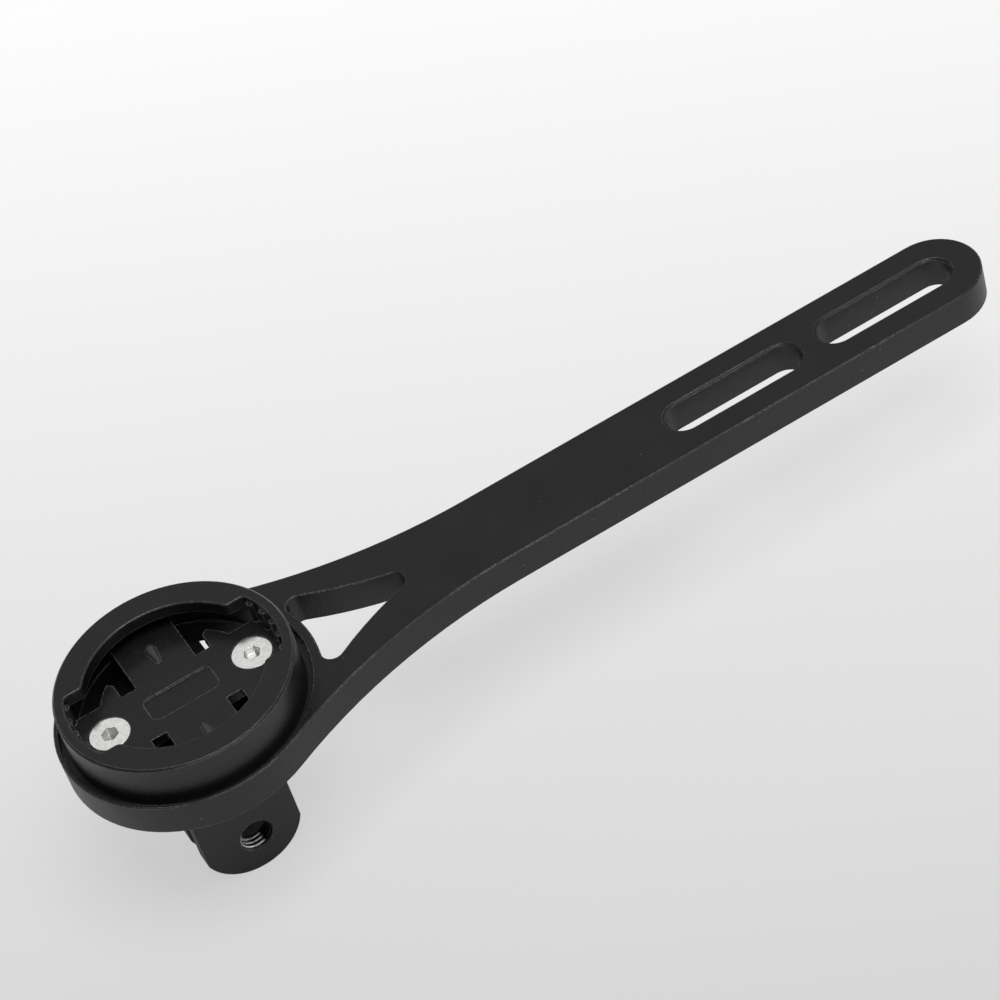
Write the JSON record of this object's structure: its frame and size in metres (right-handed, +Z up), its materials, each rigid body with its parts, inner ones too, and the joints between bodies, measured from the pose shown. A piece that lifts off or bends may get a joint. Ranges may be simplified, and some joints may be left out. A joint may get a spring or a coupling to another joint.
{
  "type": "bike computer mount",
  "caption": "Flat slotted arm that forks into a round ring with a quarter-turn computer cradle and a three-prong camera bracket below.",
  "frame": {"origin": "on the cradle's axis, in the arm's top face", "axes": "+X along the arm towards its slotted end, +Z up through the cradle, +Y to the side without the threaded prong"},
  "size_m": [0.1527, 0.0384, 0.0354],
  "materials": {
    "arm_anodised": "black anodised, fine blasted",
    "cradle_nylon": "black moulded nylon, fine grain",
    "bracket_anodised": "black anodised, fine blasted",
    "screw_steel": "bright stainless steel"
  },
  "bodies": {
    "root": {"arm_plate": "arm_anodised", "quarter_turn_insert": "cradle_nylon", "camera_bracket": "bracket_anodised", "m3_screws": "screw_steel"}
  },
  "joints": []
}
